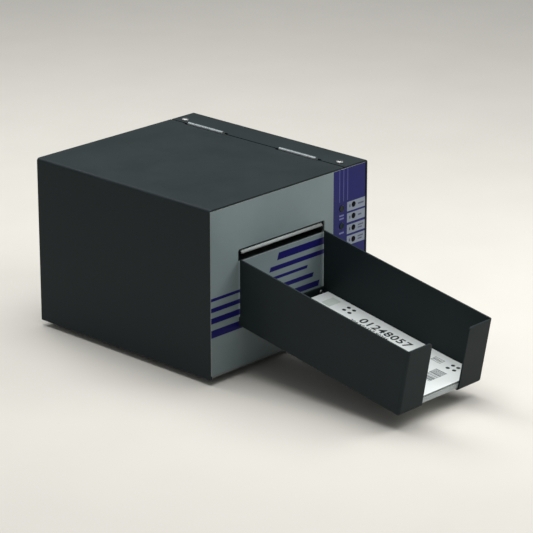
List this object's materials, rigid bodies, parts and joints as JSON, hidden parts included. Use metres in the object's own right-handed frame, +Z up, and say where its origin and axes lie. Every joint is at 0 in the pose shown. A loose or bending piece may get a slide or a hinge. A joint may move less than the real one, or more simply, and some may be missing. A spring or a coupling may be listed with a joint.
{
  "type": "thermal ticket printer",
  "caption": "Sheet metal desktop printer that prints, cuts and delivers paper tickets into a sloping front tray, with a hinged cover over a driven roller mechanism.",
  "frame": {"origin": "on the ground plane under the feet, midway between the case's sides and between its front and back", "axes": "+Z up; -Y towards the ticket tray and the control panel; +X towards the fixed side cover and the power switch"},
  "size_m": [0.1586, 0.3291, 0.1277],
  "materials": {
    "black_sheet": "fine textured black powder coat",
    "grey_sheet": "satin grey paint",
    "overlay_film": "printed matt polyester film",
    "bright_steel": "bright zinc plate",
    "plate_steel": "zinc plated sheet",
    "aluminium": "milled and drawn aluminium",
    "rubber": "black rubber",
    "roller_rubber": "ground silicone rubber",
    "belt_rubber": "toothed neoprene",
    "grey_plastic": "moulded, matt",
    "green_plastic": "moulded, matt",
    "black_plastic": "moulded, matt",
    "natural_plastic": "moulded acetal, natural",
    "lens_plastic": "dark tinted, smooth",
    "gear_brass": "cut brass",
    "board": "green solder mask",
    "ceramic": "glazed alumina strip",
    "paper": "coated thermal ticket stock",
    "motor_black": "black steel laminations and end bells"
  },
  "bodies": {
    "case": {"base_screws": "bright_steel", "board_components": "black_plastic", "board_standoffs": "gear_brass", "chassis": "grey_sheet", "cutter_frame": "plate_steel", "cutter_motor": "motor_black", "data_port": "bright_steel", "dc_jack": "black_plastic", "entry_guide": "black_sheet", "exit_bar": "bright_steel", "fixed_blade": "bright_steel", "frame_screws": "bright_steel", "front_overlay": "overlay_film", "head_pivot_pin": "bright_steel", "hinge_fixed_leaves": "bright_steel", "hinge_pins": "bright_steel", "idler_pin": "bright_steel", "indicator_lenses": "lens_plastic", "left_side_plate": "plate_steel", "main_board": "board", "panel_board": "board", "power_switch_body": "black_plastic", "right_side_plate": "plate_steel", "rubber_feet": "rubber", "shaft_bushes": "gear_brass", "side_cover": "black_sheet", "stepper_motor": "motor_black", "ticket_bed": "plate_steel", "ticket_tray": "black_sheet", "tie_rods": "bright_steel", "timing_belt": "belt_rubber", "top_screws": "bright_steel", "tray_screws": "bright_steel", "upper_guide": "plate_steel"},
    "cover": {"hinged_cover": "black_sheet", "hinge_cover_leaves": "bright_steel"},
    "feed_key": {"feed_button": "grey_plastic"},
    "load_key": {"load_button": "green_plastic"},
    "rocker": {"power_rocker": "black_plastic"},
    "platen": {"platen_roller": "roller_rubber", "platen_shaft": "bright_steel", "platen_gear": "natural_plastic", "platen_pulley": "aluminium"},
    "idler": {"idler_gear": "natural_plastic"},
    "motor_rotor": {"motor_pinion": "gear_brass"},
    "feed": {"feed_roller": "roller_rubber", "feed_shaft": "bright_steel", "feed_pulley": "aluminium"},
    "pinch": {"pinch_roller": "natural_plastic"},
    "head": {"print_head": "ceramic", "heat_sink": "aluminium", "head_bracket": "plate_steel", "head_springs": "bright_steel"},
    "cam": {"cam_shaft": "bright_steel", "head_lever": "green_plastic"},
    "cutter": {"cutter_rotor": "bright_steel", "cutter_gear": "natural_plastic"},
    "cutter_drive": {"cutter_pinion": "gear_brass"},
    "tickets": {"ticket_stack": "paper", "top_ticket": "paper"}
  },
  "joints": [
    {"name": "cover_hinge", "type": "hinge", "parent": "case", "child": "cover", "pos_m": [0.0542, 0, 0.126], "axis": [0, 1, 0], "range_deg": [0, 105]},
    {"name": "feed_press", "type": "slide", "parent": "case", "child": "feed_key", "axis": [0, 1, 0], "range_m": [0, 0.0008], "stiffness_N_per_m": 400, "springref_m": -0.001},
    {"name": "load_press", "type": "slide", "parent": "case", "child": "load_key", "axis": [0, 1, 0], "range_m": [0, 0.0008], "stiffness_N_per_m": 400, "springref_m": -0.001},
    {"name": "rocker_tilt", "type": "hinge", "parent": "case", "child": "rocker", "pos_m": [0.06025, 0.08625, 0.03], "axis": [1, 0, 0], "range_deg": [-12, 0]},
    {"name": "platen_spin", "type": "hinge", "parent": "case", "child": "platen", "pos_m": [0, -0.01995, 0.079], "axis": [1, 0, 0], "continuous": true},
    {"name": "idler_spin", "type": "hinge", "parent": "case", "child": "idler", "pos_m": [0, -0.01995, 0.0534], "axis": [1, 0, 0], "continuous": true},
    {"name": "motor_spin", "type": "hinge", "parent": "case", "child": "motor_rotor", "pos_m": [0, -0.00708, 0.0426], "axis": [1, 0, 0], "continuous": true},
    {"name": "feed_spin", "type": "hinge", "parent": "case", "child": "feed", "pos_m": [0, 0.04505, 0.079], "axis": [1, 0, 0], "continuous": true},
    {"name": "pinch_spin", "type": "hinge", "parent": "case", "child": "pinch", "pos_m": [0, 0.04505, 0.0911], "axis": [1, 0, 0], "continuous": true},
    {"name": "lever_turn", "type": "hinge", "parent": "case", "child": "cam", "pos_m": [0, -0.01795, 0.104], "axis": [1, 0, 0], "range_deg": [0, 90]},
    {"name": "head_lift", "type": "hinge", "parent": "case", "child": "head", "pos_m": [0, 0.00805, 0.098], "axis": [-1, 0, 0], "range_deg": [0, 6.3]},
    {"name": "cutter_spin", "type": "hinge", "parent": "case", "child": "cutter", "pos_m": [0, -0.06195, 0.0925], "axis": [1, 0, 0], "continuous": true},
    {"name": "cutter_drive_spin", "type": "hinge", "parent": "case", "child": "cutter_drive", "pos_m": [0, -0.06195, 0.0701], "axis": [1, 0, 0], "continuous": true},
    {"name": "ticket_lift", "type": "slide", "parent": "case", "child": "tickets", "axis": [0, -0.1742, 0.9847], "range_m": [0, 0.06]}
  ],
  "couplings": [
    {"joint": "idler_spin", "follows": "platen_spin", "ratio": -1.6667},
    {"joint": "motor_spin", "follows": "platen_spin", "ratio": 2.2222},
    {"joint": "feed_spin", "follows": "platen_spin", "ratio": 1},
    {"joint": "pinch_spin", "follows": "platen_spin", "ratio": -1.4583},
    {"joint": "cutter_drive_spin", "follows": "cutter_spin", "ratio": -1.8},
    {"joint": "head_lift", "follows": "lever_turn", "ratio": 0.07}
  ]
}
